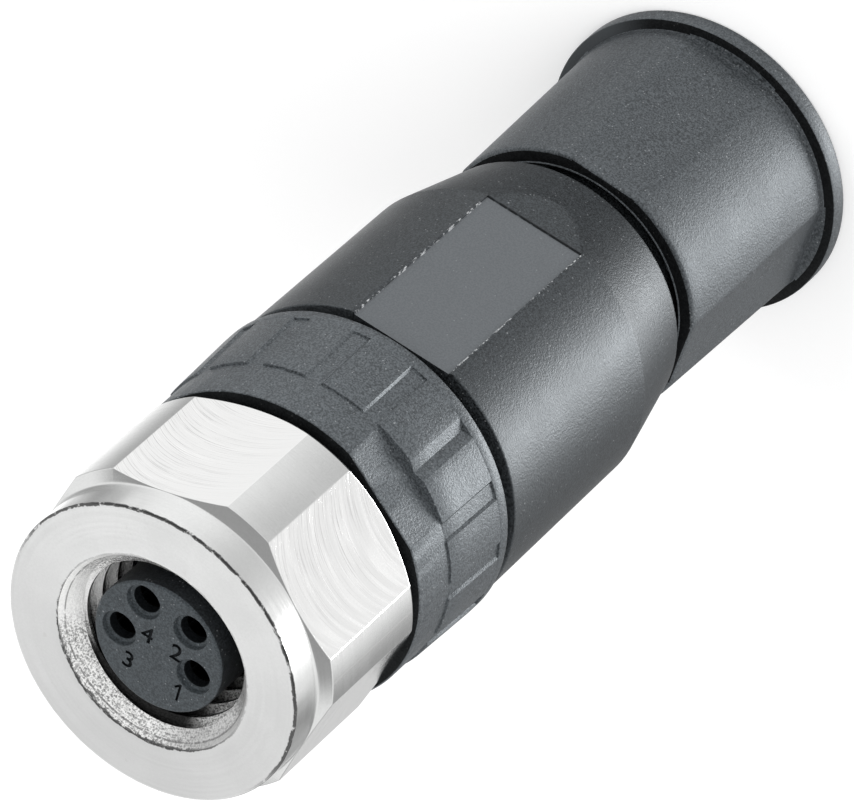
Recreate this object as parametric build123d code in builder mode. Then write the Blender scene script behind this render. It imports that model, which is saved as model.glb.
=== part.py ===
from build123d import *
from math import atan2, cos, degrees, radians, sin
import os

os.makedirs("parts", exist_ok=True)

# Round four-pole sensor and power connector with screw terminals, millimetres.
# It stands on its cable end: z = 0 is the back face of the clamp nut's flange,
# +Z points to the socket, and the label facet of the housing looks to -Y.
# Stations are depths measured down from the nose face of the coupling nut.
body_radius = 6.72
running_gap = 0.05
seat_gap = 0.02
end_gap = 0.1
edge_break = 0.1

# Coupling nut
neck_radius = body_radius - 0.42
neck_depth = 1.4
neck_edge_break = 0.06
corner_radius = body_radius + 0.08
corner_front_depth = 1.72
corner_back_depth = 7.15
nut_back_depth = 7.6
hex_across_flats = 2 * neck_radius + 0.05
hex_turn = 17.8
mouth_radius = 4.08
mouth_chamfer = 0.12
entry_depth = 1.35
thread_minor_radius = 3.46
thread_lead_in = 0.3
lip_depth = 6.5

# Contact insert
insert_face_depth = 0.4
insert_radius = 2.8
journal_radius = 2.9
insert_rounding = 0.18
groove_depth = 6.0
groove_width = 0.4
groove_radius = 2.55
insert_body_radius = 3.5
insert_flange_depth = 10.5
insert_flange_radius = 4.5
insert_end_depth = 12.5
pin_hole_radius = 0.55
pin_countersink = 0.24
contact_radius = 0.7
contact_depth = 1.05
contact_bore_radius = 0.5
contact_bore_length = 5.0
contact_slit_width = 0.16
contact_slit_length = 3.6
contact_slit_turn = 45
near_pair_half = 1.06
near_pair_y = -1.58
far_pair_half = 1.69
far_pair_y = 0.28
# Seen from the socket with the label facet up: 4 and 2 above, 3 and 1 below.
pin_places = [(-far_pair_half, far_pair_y), (-near_pair_half, near_pair_y),
              (far_pair_half, far_pair_y), (near_pair_half, near_pair_y)]

# Snap ring and face seal on the insert
snap_ring_radius = 3.3
snap_ring_gap = 50
face_seal_section = 0.22

# Grip ring
grip_front_depth = 7.9
band_radius = body_radius - 0.08
band_end_depth = 9.9
panel_height = 0.1
panel_cone = 0.12
panel_front_radius = band_radius + panel_height
panel_back_radius = panel_front_radius + panel_cone
strip_back_radius = band_radius + panel_cone
grip_back_depth = 13.7
rear_band = 0.55
strip_end_depth = grip_back_depth - rear_band
rim_bevel = 0.15
panel_pitch = 22.5
panel_half_width = 1.0
key_panel_turn = -125.4
facet_distance = band_radius - 0.35
vee_half_width = 0.445
vee_depth = 0.2
terminal_bore_radius = 5.0
spigot_wall = 0.6
grip_spigot_radius = terminal_bore_radius + spigot_wall
joint_gap = 0.7
housing_front_depth = grip_back_depth + joint_gap
grip_spigot_engagement = 3.0
grip_spigot_depth = housing_front_depth + grip_spigot_engagement

# Housing
housing_front_radius = body_radius
housing_draft = 0.07
crease_depth = 23.85
crease_radius = housing_front_radius - housing_draft
housing_back_depth = 27.75
housing_back_radius = 5.78
label_half_width = 2.17
label_end_depth = 23.79
label_sink = 0.07
spigot_end_gap = 0.6
housing_socket_depth = grip_spigot_depth + spigot_end_gap
seal_seat_depth = 24.6
seal_stop_thickness = 0.6
seal_stop_depth = seal_seat_depth - seal_stop_thickness
wire_window_radius = 3.0
screw_spigot_radius = 4.95
screw_spigot_end = 33.5
screw_spigot_bevel = 0.3
clamp_bore_radius = 4.0

# Terminals
carrier_gap = 0.15
carrier_floor = 0.65
carrier_pocket = 7.7
terminal_front_depth = insert_end_depth + carrier_gap
terminal_floor_depth = terminal_front_depth + carrier_floor
terminal_end_depth = terminal_floor_depth + carrier_pocket
block_size = 2.5
block_length = 6.0
block_x = 1.75
block_y_near = -1.75
block_y_far = 1.6
foot_thickness = 0.8
tail_radius = 0.45
foot_reach = block_y_far - block_size / 2 - far_pair_y + tail_radius + running_gap
wire_radius = 0.75
wire_depth = 4.0
screw_station = 4.3
screw_depth = terminal_floor_depth + screw_station
screw_radius = 0.78
screw_head_radius = 0.96
screw_head_height = 1.05
screw_slot_width = 0.35
screw_slot_depth = 0.5

# Cable clamp
seal_inner_radius = 2.5
seal_length = 4.0
seal_groove_count = 2
seal_groove_radius = 0.35
clamp_travel = 1.0
thrust_ring_depth = seal_seat_depth + seal_length + clamp_travel + end_gap
thrust_ring_height = 0.6
cage_radius = clamp_bore_radius - running_gap
cage_depth = thrust_ring_depth + thrust_ring_height + running_gap
cage_ring_height = 1.3
cage_inner_radius = 3.0
finger_count = 8
finger_slot = 0.7
finger_taper_depth = 33.6
finger_end_depth = 36.3
finger_end_radius = 3.45

# Clamp nut
cap_front_depth = housing_back_depth + clamp_travel + end_gap
cap_front_radius = 5.8
cap_chamfer = 0.2
cap_back_radius = 6.03
cap_front_flat = 5.55
cap_back_flat = 5.67
cap_turn = -2.0
flange_thickness = 0.8
flange_step = 0.22
flange_radius = housing_front_radius - flange_step
cap_entry_bevel = 0.15
cap_bore_radius = screw_spigot_radius + running_gap
cap_thread_end = screw_spigot_end + clamp_travel + 2 * end_gap
cone_gap = 0.06
cap_cone_end = finger_end_depth + 2 * end_gap
cable_wall = 1.9
flange_depth = cap_cone_end + cable_wall
overall_length = flange_depth + flange_thickness
cable_radius = 2.75
cable_flare = 0.5


def height(depth):
    return overall_length - depth


# Coupling nut: a turned blank whose corners stand proud of the neck, with six milled flats.
with BuildPart() as coupling_nut:
    with BuildSketch(Plane.XZ):
        with BuildLine():
            Polyline(
                (mouth_radius + mouth_chamfer, height(0)),
                (neck_radius - neck_edge_break, height(0)),
                (neck_radius, height(neck_edge_break)),
                (neck_radius, height(neck_depth)),
                (corner_radius, height(corner_front_depth)),
                (corner_radius, height(corner_back_depth)),
                (neck_radius, height(nut_back_depth)),
                (journal_radius + running_gap, height(nut_back_depth)),
                (journal_radius + running_gap, height(lip_depth)),
                (thread_minor_radius, height(lip_depth)),
                (thread_minor_radius, height(entry_depth + thread_lead_in)),
                (mouth_radius, height(entry_depth)),
                (mouth_radius, height(mouth_chamfer)),
                close=True,
            )
        make_face()
    revolve(axis=Axis.Z)
    with BuildSketch(Plane.XY.offset(height(nut_back_depth))):
        RegularPolygon(hex_across_flats / 2, 6, major_radius=False, rotation=hex_turn)
    extrude(amount=nut_back_depth, mode=Mode.INTERSECT)

coupling_nut.part.label = "coupling_nut"
export_step(coupling_nut.part, "parts/coupling_nut.step")

# Contact insert: carries the four contacts, the snap ring and the nut's journal.
with BuildPart() as contact_insert:
    with BuildSketch(Plane.XZ):
        with BuildLine():
            Polyline(
                (0, height(insert_face_depth)),
                (insert_radius, height(insert_face_depth)),
                (insert_radius, height(groove_depth)),
                (groove_radius, height(groove_depth)),
                (groove_radius, height(groove_depth + groove_width)),
                (journal_radius, height(groove_depth + groove_width)),
                (journal_radius, height(grip_front_depth)),
                (insert_body_radius, height(grip_front_depth)),
                (insert_body_radius, height(insert_flange_depth)),
                (insert_flange_radius, height(insert_flange_depth)),
                (insert_flange_radius, height(insert_end_depth)),
                (0, height(insert_end_depth)),
                close=True,
            )
        make_face()
    revolve(axis=Axis.Z)
    rim = contact_insert.faces().sort_by(Axis.Z)[-1].edges().filter_by(GeomType.CIRCLE)
    fillet(rim, insert_rounding)
    with Locations(*[(x, y, height(insert_face_depth)) for x, y in pin_places]):
        CounterSinkHole(pin_hole_radius, pin_hole_radius + pin_countersink, counter_sink_angle=90)
    with Locations(*[(x, y, height(insert_end_depth)) for x, y in pin_places]):
        Cylinder(contact_radius + seat_gap, insert_end_depth - contact_depth + seat_gap,
                 align=(Align.CENTER, Align.CENTER, Align.MIN), mode=Mode.SUBTRACT)

contact_insert.part.label = "contact_insert"
export_step(contact_insert.part, "parts/contact_insert.step")

# Snap ring in the insert's groove: it keeps the nut's inner lip behind it.
with BuildPart() as snap_ring:
    with BuildSketch(Plane.XY.offset(height(groove_depth + groove_width - running_gap))):
        Circle(snap_ring_radius)
        Circle(groove_radius + seat_gap, mode=Mode.SUBTRACT)
        with BuildLine():
            half_gap = radians(snap_ring_gap / 2)
            reach = 2 * snap_ring_radius
            Polyline((0, 0), (reach * cos(half_gap), -reach * sin(half_gap)),
                     (reach * cos(half_gap), reach * sin(half_gap)), close=True)
        make_face(mode=Mode.SUBTRACT)
    extrude(amount=groove_width - 2 * running_gap)

snap_ring.part.label = "snap_ring"
export_step(snap_ring.part, "parts/snap_ring.step")

# Face seal: the round ring the mating plug's collar is pressed on.
with BuildPart() as face_seal:
    with BuildSketch(Plane.XZ):
        with Locations((insert_radius + seat_gap + face_seal_section,
                        height(groove_depth - running_gap - face_seal_section))):
            Circle(face_seal_section)
    revolve(axis=Axis.Z)

face_seal.part.label = "face_seal"
export_step(face_seal.part, "parts/face_seal.step")

# Contacts: slit sleeve, solid shank, tail and clamping block in one piece of brass.
for number, (pin_x, pin_y) in enumerate(pin_places, start=1):
    block_centre_x = block_x if pin_x > 0 else -block_x
    block_centre_y = block_y_near if pin_y < 0 else block_y_far
    block_top = height(terminal_floor_depth + seat_gap)
    with BuildPart() as contact:
        with Locations((pin_x, pin_y, height(contact_depth + seat_gap))):
            Cylinder(contact_radius, insert_end_depth - contact_depth - seat_gap,
                     align=(Align.CENTER, Align.CENTER, Align.MAX))
            Cylinder(contact_bore_radius, contact_bore_length,
                     align=(Align.CENTER, Align.CENTER, Align.MAX), mode=Mode.SUBTRACT)
            Box(3 * contact_radius, contact_slit_width, contact_slit_length,
                rotation=(0, 0, contact_slit_turn),
                align=(Align.CENTER, Align.CENTER, Align.MAX), mode=Mode.SUBTRACT)
        with Locations((pin_x, pin_y, height(insert_end_depth))):
            Cylinder(tail_radius, terminal_floor_depth + foot_thickness / 2 - insert_end_depth,
                     align=(Align.CENTER, Align.CENTER, Align.MAX))
        with BuildSketch(Plane.XY.offset(block_top)):
            with Locations((block_centre_x, block_centre_y)):
                Rectangle(block_size, block_size)
        extrude(amount=-block_length)
        if pin_y > 0:
            with BuildSketch(Plane.XY.offset(block_top)):
                with Locations((block_centre_x, block_centre_y - foot_reach / 2)):
                    Rectangle(block_size, block_size + foot_reach)
            extrude(amount=-foot_thickness)
        with Locations((block_centre_x, block_centre_y, block_top - block_length)):
            Cylinder(wire_radius, wire_depth, align=(Align.CENTER, Align.CENTER, Align.MIN),
                     mode=Mode.SUBTRACT)
        side = 1 if pin_x > 0 else -1
        with BuildSketch(Plane.YZ.offset(side * block_x)):
            with Locations((block_centre_y, height(screw_depth))):
                Circle(screw_radius + seat_gap)
        extrude(amount=side * block_size, mode=Mode.SUBTRACT)

    contact.part.label = f"contact_{number}"
    export_step(contact.part, f"parts/contact_{number}.step")

# Terminal screws: slotted cheese heads, their tips just outside the wire holes.
for number, (pin_x, pin_y) in enumerate(pin_places, start=1):
    side = 1 if pin_x > 0 else -1
    block_centre_y = block_y_near if pin_y < 0 else block_y_far
    head_seat = block_x + block_size / 2 + end_gap
    with BuildPart() as terminal_screw:
        with BuildSketch(Plane.YZ.offset(side * (block_x + wire_radius))):
            with Locations((block_centre_y, height(screw_depth))):
                Circle(screw_radius)
        extrude(amount=side * (head_seat - block_x - wire_radius))
        with BuildSketch(Plane.YZ.offset(side * head_seat)):
            with Locations((block_centre_y, height(screw_depth))):
                Circle(screw_head_radius)
        extrude(amount=side * screw_head_height)
        with BuildSketch(Plane.YZ.offset(side * (head_seat + screw_head_height))):
            with Locations((block_centre_y, height(screw_depth))):
                Rectangle(3 * screw_head_radius, screw_slot_width)
        extrude(amount=-side * screw_slot_depth, mode=Mode.SUBTRACT)

    terminal_screw.part.label = f"terminal_screw_{number}"
    export_step(terminal_screw.part, f"parts/terminal_screw_{number}.step")

# Terminal carrier: insulator with a pocket for each block and a door for each screw.
with BuildPart() as terminal_carrier:
    with BuildSketch(Plane.XY.offset(height(terminal_end_depth))):
        Circle(terminal_bore_radius - running_gap)
    extrude(amount=terminal_end_depth - terminal_front_depth)
    with BuildSketch(Plane.XY.offset(height(terminal_end_depth))):
        with Locations(*[(x, block_y_near) for x in (-block_x, block_x)]):
            Rectangle(block_size + 4 * seat_gap, block_size + 4 * seat_gap)
        with Locations(*[(x, block_y_far - foot_reach / 2) for x in (-block_x, block_x)]):
            Rectangle(block_size + 4 * seat_gap, block_size + foot_reach + 4 * seat_gap)
    extrude(amount=terminal_end_depth - terminal_floor_depth, mode=Mode.SUBTRACT)
    with Locations(*[(x, y, height(terminal_front_depth)) for x, y in pin_places]):
        Cylinder(tail_radius + seat_gap, 2 * block_size, mode=Mode.SUBTRACT)
    for side in (-1, 1):
        with BuildSketch(Plane.YZ.offset(side * block_x)):
            with Locations((block_y_near, height(screw_depth)), (block_y_far, height(screw_depth))):
                Circle(screw_head_radius + running_gap)
        extrude(amount=side * terminal_bore_radius, mode=Mode.SUBTRACT)

terminal_carrier.part.label = "terminal_carrier"
export_step(terminal_carrier.part, "parts/terminal_carrier.step")

# Grip ring: raised panels with sloped sides, one wide key panel with a V mark and a
# flat in front of it. Panels, strips between them and the V mark follow one flat cone.
key_turn_angles = [-panel_pitch / 2, 0, panel_pitch / 2]
panel_angles = [sign * (1.5 + step) * panel_pitch for sign in (-1, 1) for step in range(7)]
panel_run = strip_end_depth - band_end_depth
panel_tilt = degrees(atan2(panel_cone, panel_run))


def strip_plane(turn, depth):
    """Plane across the strips' cone at a depth, its x pointing outward."""
    reach = band_radius + panel_cone * (depth - band_end_depth) / panel_run
    return Plane(Location((0, 0, height(depth)), (0, 0, turn))
                 * Location((reach, 0, 0), (0, -panel_tilt, 0)))


with BuildPart() as grip_ring:
    with BuildSketch(*[strip_plane(key_panel_turn + angle, grip_back_depth)
                       for angle in key_turn_angles + panel_angles]):
        Polygon(
            (-2 * panel_height, -panel_half_width - 2 * panel_height),
            (4 * panel_height, -panel_half_width + 4 * panel_height),
            (4 * panel_height, panel_half_width - 4 * panel_height),
            (-2 * panel_height, panel_half_width + 2 * panel_height),
            align=None,
        )
    extrude(amount=grip_back_depth - band_end_depth + panel_height)
    with BuildSketch(Plane.XZ):
        with BuildLine():
            Polyline(
                (grip_spigot_radius, height(band_end_depth)),
                (panel_front_radius, height(band_end_depth)),
                (panel_back_radius, height(strip_end_depth)),
                (panel_back_radius, height(grip_back_depth - rim_bevel)),
                (grip_spigot_radius, height(grip_back_depth - rim_bevel)),
                close=True,
            )
        make_face()
    revolve(axis=Axis.Z, mode=Mode.INTERSECT)
    with BuildSketch(Plane.XZ):
        with BuildLine():
            Polyline(
                (insert_body_radius + seat_gap, height(grip_front_depth)),
                (band_radius - edge_break, height(grip_front_depth)),
                (band_radius, height(grip_front_depth + edge_break)),
                (band_radius, height(band_end_depth)),
                (strip_back_radius, height(strip_end_depth)),
                (panel_back_radius, height(strip_end_depth + edge_break)),
                (panel_back_radius, height(grip_back_depth - rim_bevel)),
                (panel_back_radius - rim_bevel, height(grip_back_depth)),
                (grip_spigot_radius, height(grip_back_depth)),
                (grip_spigot_radius, height(grip_spigot_depth)),
                (terminal_bore_radius, height(grip_spigot_depth)),
                (terminal_bore_radius, height(insert_end_depth + seat_gap)),
                (insert_flange_radius + seat_gap, height(insert_end_depth + seat_gap)),
                (insert_flange_radius + seat_gap, height(insert_flange_depth - seat_gap)),
                (insert_body_radius + seat_gap, height(insert_flange_depth - seat_gap)),
                close=True,
            )
        make_face()
    revolve(axis=Axis.Z)
    with BuildSketch(strip_plane(key_panel_turn, strip_end_depth)):
        Polygon(
            (panel_height - vee_depth, 0),
            (panel_height + vee_depth, -2 * vee_half_width),
            (panel_height + vee_depth, 2 * vee_half_width),
            align=None,
        )
    extrude(amount=panel_run, mode=Mode.SUBTRACT)
    with BuildSketch(Plane.XY.offset(height(band_end_depth))):
        with Locations(Location((0, 0, 0), (0, 0, key_panel_turn))):
            with Locations((facet_distance, 0)):
                Rectangle(band_radius, 2 * band_radius, align=(Align.MIN, Align.CENTER))
    extrude(amount=band_end_depth - grip_front_depth, mode=Mode.SUBTRACT)

grip_ring.part.label = "grip_ring"
export_step(grip_ring.part, "parts/grip_ring.step")

# Joint seal between the grip ring and the housing, in the dark gap of the outside.
with BuildPart() as joint_seal:
    with BuildSketch(Plane.XZ):
        with Locations((grip_spigot_radius + joint_gap / 2, height(grip_back_depth + joint_gap / 2))):
            Circle(joint_gap / 2 - seat_gap)
    revolve(axis=Axis.Z)

joint_seal.part.label = "joint_seal"
export_step(joint_seal.part, "parts/joint_seal.step")

# Housing: drafted sleeve, conical shoulder, screw spigot, and the facet with a sunk label panel.
with BuildPart() as housing:
    with BuildSketch(Plane.XZ):
        with BuildLine():
            Polyline(
                (grip_spigot_radius + seat_gap, height(housing_front_depth)),
                (housing_front_radius - edge_break, height(housing_front_depth)),
                (housing_front_radius, height(housing_front_depth + edge_break)),
                (crease_radius, height(crease_depth)),
                (housing_back_radius, height(housing_back_depth)),
                (screw_spigot_radius, height(housing_back_depth)),
                (screw_spigot_radius, height(screw_spigot_end - screw_spigot_bevel)),
                (screw_spigot_radius - screw_spigot_bevel, height(screw_spigot_end)),
                (clamp_bore_radius, height(screw_spigot_end)),
                (clamp_bore_radius, height(seal_seat_depth)),
                (wire_window_radius, height(seal_seat_depth)),
                (wire_window_radius, height(seal_stop_depth)),
                (terminal_bore_radius, height(seal_stop_depth)),
                (terminal_bore_radius, height(housing_socket_depth)),
                (grip_spigot_radius + seat_gap, height(housing_socket_depth)),
                close=True,
            )
        make_face()
    revolve(axis=Axis.Z)
    with BuildSketch(Plane.XY.offset(height(housing_back_depth))):
        with Locations((0, -facet_distance)):
            Rectangle(2 * housing_front_radius, housing_front_radius, align=(Align.CENTER, Align.MAX))
    extrude(amount=housing_back_depth - housing_front_depth, mode=Mode.SUBTRACT)
    with BuildSketch(Plane.XY.offset(height(label_end_depth))):
        with Locations((0, -facet_distance + label_sink)):
            Rectangle(2 * label_half_width, housing_front_radius, align=(Align.CENTER, Align.MAX))
    extrude(amount=label_end_depth - housing_front_depth, mode=Mode.SUBTRACT)

housing.part.label = "housing"
export_step(housing.part, "parts/housing.step")

# Cable seal: soft bush with three outer ribs.
with BuildPart() as cable_seal:
    seal_outer = clamp_bore_radius - seat_gap
    with BuildSketch(Plane.XY.offset(height(seal_seat_depth + seat_gap + seal_length))):
        Circle(seal_outer)
        Circle(seal_inner_radius, mode=Mode.SUBTRACT)
    extrude(amount=seal_length)
    for groove in range(1, seal_groove_count + 1):
        groove_station = seal_seat_depth + groove * seal_length / (seal_groove_count + 1)
        with BuildSketch(Plane.XZ):
            with Locations((seal_outer, height(groove_station))):
                Circle(seal_groove_radius)
        revolve(axis=Axis.Z, mode=Mode.SUBTRACT)

cable_seal.part.label = "cable_seal"
export_step(cable_seal.part, "parts/cable_seal.step")

# Thrust ring: a flat washer that keeps the cage from twisting the seal.
with BuildPart() as thrust_ring:
    with BuildSketch(Plane.XY.offset(height(thrust_ring_depth + thrust_ring_height))):
        Circle(cage_radius)
        Circle(cage_inner_radius, mode=Mode.SUBTRACT)
    extrude(amount=thrust_ring_height)

thrust_ring.part.label = "thrust_ring"
export_step(thrust_ring.part, "parts/thrust_ring.step")

# Clamp cage: closed ring with eight fingers that the clamp nut's cone bends inward.
with BuildPart() as clamp_cage:
    with BuildSketch(Plane.XZ):
        with BuildLine():
            Polyline(
                (cage_inner_radius, height(cage_depth)),
                (cage_radius, height(cage_depth)),
                (cage_radius, height(finger_taper_depth)),
                (finger_end_radius, height(finger_end_depth)),
                (cage_inner_radius, height(finger_end_depth)),
                close=True,
            )
        make_face()
    revolve(axis=Axis.Z)
    with BuildSketch(Plane.XY.offset(height(finger_end_depth))):
        with PolarLocations(0, finger_count):
            Rectangle(2 * cage_radius, finger_slot, align=(Align.MIN, Align.CENTER))
    extrude(amount=finger_end_depth - cage_depth - cage_ring_height, mode=Mode.SUBTRACT)

clamp_cage.part.label = "clamp_cage"
export_step(clamp_cage.part, "parts/clamp_cage.step")

# Clamp nut: tapered body with four flats and wide round corners, closed by a thin flange.
with BuildPart() as clamp_nut:
    with BuildSketch(Plane.XY.offset(height(cap_front_depth))):
        Rectangle(2 * cap_front_flat, 2 * cap_front_flat, rotation=cap_turn)
    with BuildSketch(Plane.XY.offset(height(flange_depth))):
        Rectangle(2 * cap_back_flat, 2 * cap_back_flat, rotation=cap_turn)
    loft()
    with BuildSketch(Plane.XZ):
        with BuildLine():
            Polyline(
                (0, height(cap_front_depth)),
                (cap_front_radius - cap_chamfer, height(cap_front_depth)),
                (cap_front_radius, height(cap_front_depth + cap_chamfer)),
                (cap_back_radius, height(flange_depth)),
                (0, height(flange_depth)),
                close=True,
            )
        make_face()
    revolve(axis=Axis.Z, mode=Mode.INTERSECT)
    with BuildSketch(Plane.XZ):
        with BuildLine():
            Polyline(
                (0, height(flange_depth)),
                (flange_radius, height(flange_depth)),
                (flange_radius, height(overall_length - edge_break)),
                (flange_radius - edge_break, height(overall_length)),
                (0, height(overall_length)),
                close=True,
            )
        make_face()
    revolve(axis=Axis.Z)
    with BuildSketch(Plane.XZ):
        with BuildLine():
            Polyline(
                (0, height(cap_front_depth)),
                (cap_bore_radius + cap_entry_bevel, height(cap_front_depth)),
                (cap_bore_radius, height(cap_front_depth + cap_entry_bevel)),
                (cap_bore_radius, height(cap_thread_end)),
                (cage_radius + cone_gap - (cage_radius - finger_end_radius)
                 * (cap_thread_end - finger_taper_depth) / (finger_end_depth - finger_taper_depth),
                 height(cap_thread_end)),
                (finger_end_radius + cone_gap, height(finger_end_depth)),
                (finger_end_radius + cone_gap, height(cap_cone_end)),
                (cable_radius, height(cap_cone_end)),
                (cable_radius, height(overall_length - cable_flare)),
                (cable_radius + cable_flare, height(overall_length)),
                (0, height(overall_length)),
                close=True,
            )
        make_face()
    revolve(axis=Axis.Z, mode=Mode.SUBTRACT)

clamp_nut.part.label = "clamp_nut"
export_step(clamp_nut.part, "parts/clamp_nut.step")
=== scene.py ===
import math

import bmesh
import bpy
import numpy as np
from mathutils import Matrix, Vector


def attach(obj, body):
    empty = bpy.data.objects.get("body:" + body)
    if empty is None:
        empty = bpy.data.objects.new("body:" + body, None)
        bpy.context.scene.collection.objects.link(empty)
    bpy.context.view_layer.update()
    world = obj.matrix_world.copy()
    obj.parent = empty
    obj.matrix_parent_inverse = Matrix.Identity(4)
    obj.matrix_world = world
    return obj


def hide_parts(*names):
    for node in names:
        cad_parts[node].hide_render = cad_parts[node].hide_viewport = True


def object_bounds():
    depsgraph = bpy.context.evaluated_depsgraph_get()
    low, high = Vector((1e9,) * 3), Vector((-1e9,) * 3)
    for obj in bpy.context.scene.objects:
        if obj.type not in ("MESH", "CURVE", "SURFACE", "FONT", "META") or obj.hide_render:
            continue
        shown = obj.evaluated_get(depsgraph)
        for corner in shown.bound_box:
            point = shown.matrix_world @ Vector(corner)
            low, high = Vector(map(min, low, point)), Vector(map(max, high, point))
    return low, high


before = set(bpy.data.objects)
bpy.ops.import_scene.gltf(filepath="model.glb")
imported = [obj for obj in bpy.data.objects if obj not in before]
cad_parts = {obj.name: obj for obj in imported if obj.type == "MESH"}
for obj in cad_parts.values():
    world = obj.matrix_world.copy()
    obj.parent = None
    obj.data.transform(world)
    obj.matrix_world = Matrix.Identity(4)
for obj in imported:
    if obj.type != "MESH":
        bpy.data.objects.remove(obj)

cad_box = [list(corner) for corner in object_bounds()]
MM = 0.001
TOP = cad_box[1][2]          # height of the nose face, metres
LENGTH = TOP / MM            # overall length in millimetres: depth of the clamp nut's back

# Sizes in millimetres: radii from the axis, depths from the nose face; turns in degrees
# Coupling nut, from the neck to the hexagon, and its mouth, thread and rear bore
NECK, CORNER, ACROSS, HEX_TURN = 6.3, 6.8, 12.65, 17.8
HEX_FRONT, FRONT_SLOPE, CORNER_BACK, BACK_SLOPE, NUT_BACK = 1.4, 0.32, 7.15, 0.45, 7.6
MOUTH, BEVEL, BEVEL_DEPTH, THREAD_CREST, THREAD_ROOT = 4.16, 3.98, 0.22, 3.53, 4.02
THREAD_END, NUT_BORE = 6.5, 2.96
# Grip ring: plain band, step up to the panels, end of the strips, then the sleeve inside the housing
BAND, PANEL, CONE, RING_BORE = 6.64, 0.1, 0.12, 3.52
RING_FRONT, STEP, STRIP_END, RING_BACK = 7.9, 9.9, 13.15, 13.7
SLEEVE, SLEEVE_BORE, SLEEVE_FLOOR, SLEEVE_END = 5.6, 5.0, 12.52, 17.4
PITCH, PLAIN_PANELS, KEY_TURN, VEE_DEPTH, VEE_HALF = 22.5, 14, -125.4, 0.2, 0.445
FACET = 6.29                 # distance of the flat facet from the axis, on the ring and the housing
# Housing with its label panel, and the threaded spigot behind it
HOUSING_FRONT, CREASE, HOUSING_BACK, HOUSING_RADII = 14.4, 23.85, 27.75, (6.72, 6.65, 5.78)
LABEL_HALF, LABEL_SINK, LABEL_END = 2.17, 0.07, 23.79
SPIGOT, SPIGOT_END, SEAL_BORE, CABLE_BORE = 4.50, 33.5, 4.0, 3.0
# Clamp nut: radii of its round corners and its flats, at the front and at the flange
CAP_FRONT, FLANGE, FLANGE_RADIUS, CAP_TURN = 28.85, 38.4, 6.5, -2.0
CAP_ROUND, CAP_FLAT, CAP_BORE, CABLE_ENTRY = (5.8, 6.03), (5.55, 5.67), 5.0, 2.75
# Contact insert: its face, and the places of the pin holes on it
INSERT_FACE, INSERT_RADIUS, HOLE_RADIUS, HOLE_RIM = 0.4, 2.8, 0.55, 0.76
PINS = {1: (-1.69, 0.28), 2: (-1.06, -1.58), 3: (1.69, 0.28), 4: (1.06, -1.58)}


def placed(name, data):
    """Object of some data, linked to the scene."""
    thing = bpy.data.objects.new(name, data)
    bpy.context.scene.collection.objects.link(thing)
    return thing


# Camera, fitted to the photograph: focal length and width in its pixels
FOCAL_PIXELS, PHOTO_WIDTH, SENSOR_WIDTH = 9300, 854, 36.0
CAMERA_PLACE = (-0.094204, -0.236595, 0.265704)
camera_data = bpy.data.cameras.new("photo_camera")
camera_data.sensor_fit = "HORIZONTAL"
camera_data.sensor_width = SENSOR_WIDTH
camera_data.lens = FOCAL_PIXELS / PHOTO_WIDTH * SENSOR_WIDTH
camera_data.clip_start = 0.01
camera_data.clip_end = 10.0
camera = placed("photo_camera", camera_data)
right = Vector((-0.81296, -0.23077, -0.53465)).normalized()
back = Vector((-0.26630, -0.66917, 0.69376)).normalized()
up = back.cross(right).normalized()
right = up.cross(back)
axes = Matrix((right, up, back)).transposed().to_4x4()
camera.matrix_world = Matrix.Translation(CAMERA_PLACE) @ axes
bpy.context.scene.camera = camera


# Turned shapes
def around(stops, step):
    """Angles in degrees from the first stop to the last, each gap divided into steps."""
    angles = [stops[0]]
    for low, high in zip(stops, stops[1:]):
        parts = max(1, math.ceil((high - low) / step - 1e-6))
        angles += list(np.linspace(low, high, parts + 1)[1:])
    return np.array(angles)


def soften(loop, rounding, steps=3):
    """Rounds the corners of a profile; loop is corners x columns x (radius, depth)."""
    rows = []
    for i, here in enumerate(loop):
        if rounding[i] == 0:
            rows.append(here)
            continue
        before = loop[i - 1] - here
        after = loop[(i + 1) % len(loop)] - here
        far_before = np.linalg.norm(before, axis=-1, keepdims=True) + 1e-9
        far_after = np.linalg.norm(after, axis=-1, keepdims=True) + 1e-9
        start = here + before / far_before * np.minimum(rounding[i], 0.45 * far_before)
        end = here + after / far_after * np.minimum(rounding[i], 0.45 * far_after)
        for t in np.linspace(0, 1, steps + 1):
            rows.append((1 - t) ** 2 * start + 2 * t * (1 - t) * here + t * t * end)
    return np.stack(rows)


def station(radius, depth):
    """One profile corner, the same or different at each angle."""
    return np.stack(np.broadcast_arrays(np.asarray(radius, float), np.asarray(depth, float)), -1)


def profile(corners, width):
    """Grid of the corners of a profile, repeated at each of so many angles."""
    return np.stack([np.broadcast_to(station(r, s), (width, 2)) for r, s in corners])


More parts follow.
